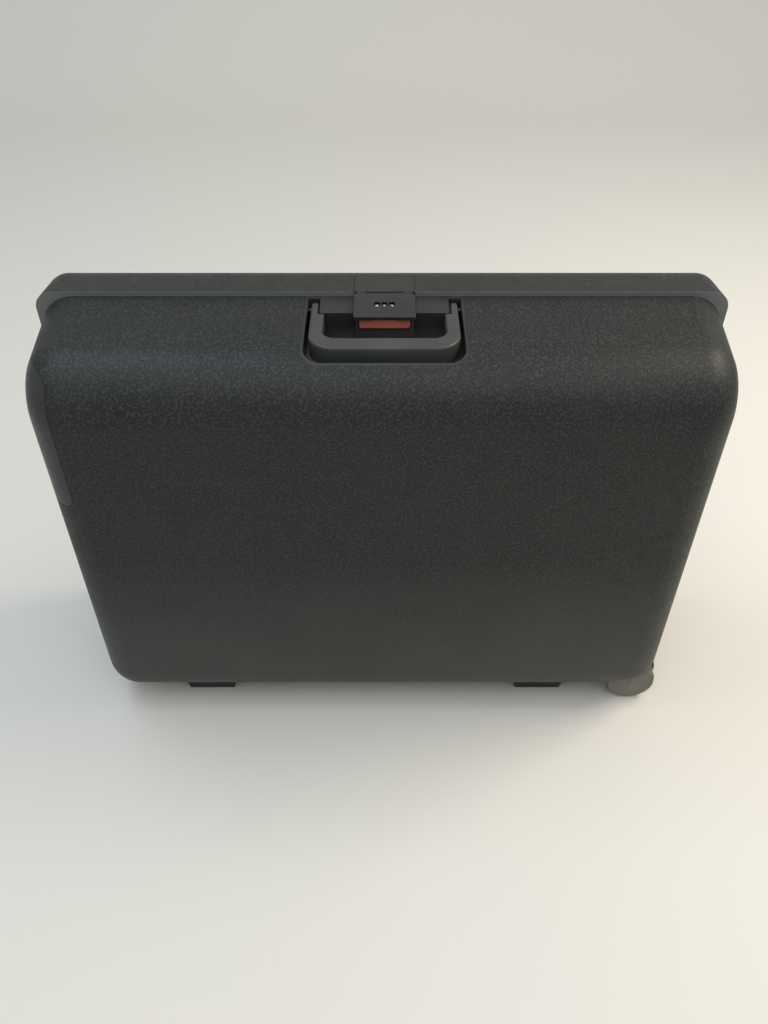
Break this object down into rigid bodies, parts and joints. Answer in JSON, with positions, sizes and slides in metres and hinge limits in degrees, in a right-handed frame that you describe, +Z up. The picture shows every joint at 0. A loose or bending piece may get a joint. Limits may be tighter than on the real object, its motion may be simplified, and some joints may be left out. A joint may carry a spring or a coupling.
{
  "type": "hard-shell suitcase",
  "caption": "Hard-shell suitcase with hinged lid, combination lock latch, folding carry handle, tow handle and wheels.",
  "frame": {"origin": "middle of the case's footprint, on the floor that its feet and wheels stand on", "axes": "+X along the case towards the wheels, +Y from the deep front shell towards the lid, +Z up"},
  "size_m": [0.742, 0.23, 0.534],
  "materials": {
    "shell": "fine moulded grain, dark charcoal",
    "moulding": "smooth satin, dark charcoal",
    "dark_plastic": "smooth, near black",
    "latch": "satin, dark grey",
    "grip": "satin, warm dark grey",
    "tab": "satin red",
    "dial": "black with white digits",
    "seal": "soft matt",
    "foot": "smooth, worn on the bottom",
    "tyre": "matt tread",
    "hub": "satin",
    "steel": "zinc plated"
  },
  "bodies": {
    "base": {"front_shell": "shell", "rim_seal": "seal", "handle_recess": "moulding", "handle_pins": "steel", "lock_case": "dark_plastic", "latch_keeper": "steel", "dial_shaft": "steel", "dial_detent": "steel", "tow_insert": "moulding", "tow_pin": "steel", "wheel_housing": "moulding", "wheel_axle": "steel", "front_feet": "foot", "base_hinge_leaves": "steel", "hinge_pins": "steel", "base_rivets": "steel"},
    "lid": {"rear_shell": "shell", "latch_plate": "latch", "hasp_pin": "steel", "lid_hinge_leaves": "steel", "rear_feet": "foot", "lid_rivets": "steel"},
    "hasp": {"hasp": "latch", "hasp_hooks": "steel"},
    "dial_1": {"dial_1": "dial"},
    "dial_2": {"dial_2": "dial"},
    "dial_3": {"dial_3": "dial"},
    "release": {"release_tab": "tab", "tab_spring": "steel"},
    "catch": {"lock_catch": "steel"},
    "carry_handle": {"carry_handle": "grip"},
    "tow_handle": {"tow_handle": "moulding"},
    "front_wheel": {"front_tyre": "tyre", "front_hub": "hub"},
    "rear_wheel": {"rear_tyre": "tyre", "rear_hub": "hub"}
  },
  "joints": [
    {"name": "lid_hinge", "type": "hinge", "parent": "base", "child": "lid", "pos_m": [0, 0.035, 0.0145], "axis": [-1, 0, 0], "range_deg": [0, 100]},
    {"name": "hasp_hinge", "type": "hinge", "parent": "lid", "child": "hasp", "pos_m": [0.0026, 0.0328, 0.5316], "axis": [-1, 0, 0], "range_deg": [0, 95]},
    {"name": "dial_1_spin", "type": "hinge", "parent": "base", "child": "dial_1", "pos_m": [-0.0051, 0.009, 0.52552], "axis": [1, 0, 0], "continuous": true},
    {"name": "dial_2_spin", "type": "hinge", "parent": "base", "child": "dial_2", "pos_m": [0.0026, 0.009, 0.52552], "axis": [1, 0, 0], "continuous": true},
    {"name": "dial_3_spin", "type": "hinge", "parent": "base", "child": "dial_3", "pos_m": [0.0103, 0.009, 0.52552], "axis": [1, 0, 0], "continuous": true},
    {"name": "release_push", "type": "slide", "parent": "base", "child": "release", "axis": [0, 1, 0], "range_m": [0, 0.003], "stiffness_N_per_m": 600, "springref_m": -0.001, "deforming": ["tab_spring"]},
    {"name": "catch_slide", "type": "slide", "parent": "base", "child": "catch", "axis": [1, 0, 0], "range_m": [0, 0.0016]},
    {"name": "carry_handle_hinge", "type": "hinge", "parent": "base", "child": "carry_handle", "pos_m": [0.0026, 0.02, 0.5205], "axis": [-1, 0, 0], "range_deg": [0, 100]},
    {"name": "tow_handle_hinge", "type": "hinge", "parent": "base", "child": "tow_handle", "pos_m": [-0.35056, -0.064, 0.468], "axis": [0, 1, 0], "range_deg": [0, 90]},
    {"name": "front_wheel_spin", "type": "hinge", "parent": "base", "child": "front_wheel", "pos_m": [0.331, -0.083, 0.0315], "axis": [0, 1, 0], "continuous": true},
    {"name": "rear_wheel_spin", "type": "hinge", "parent": "base", "child": "rear_wheel", "pos_m": [0.331, 0.016, 0.0315], "axis": [0, 1, 0], "continuous": true}
  ]
}
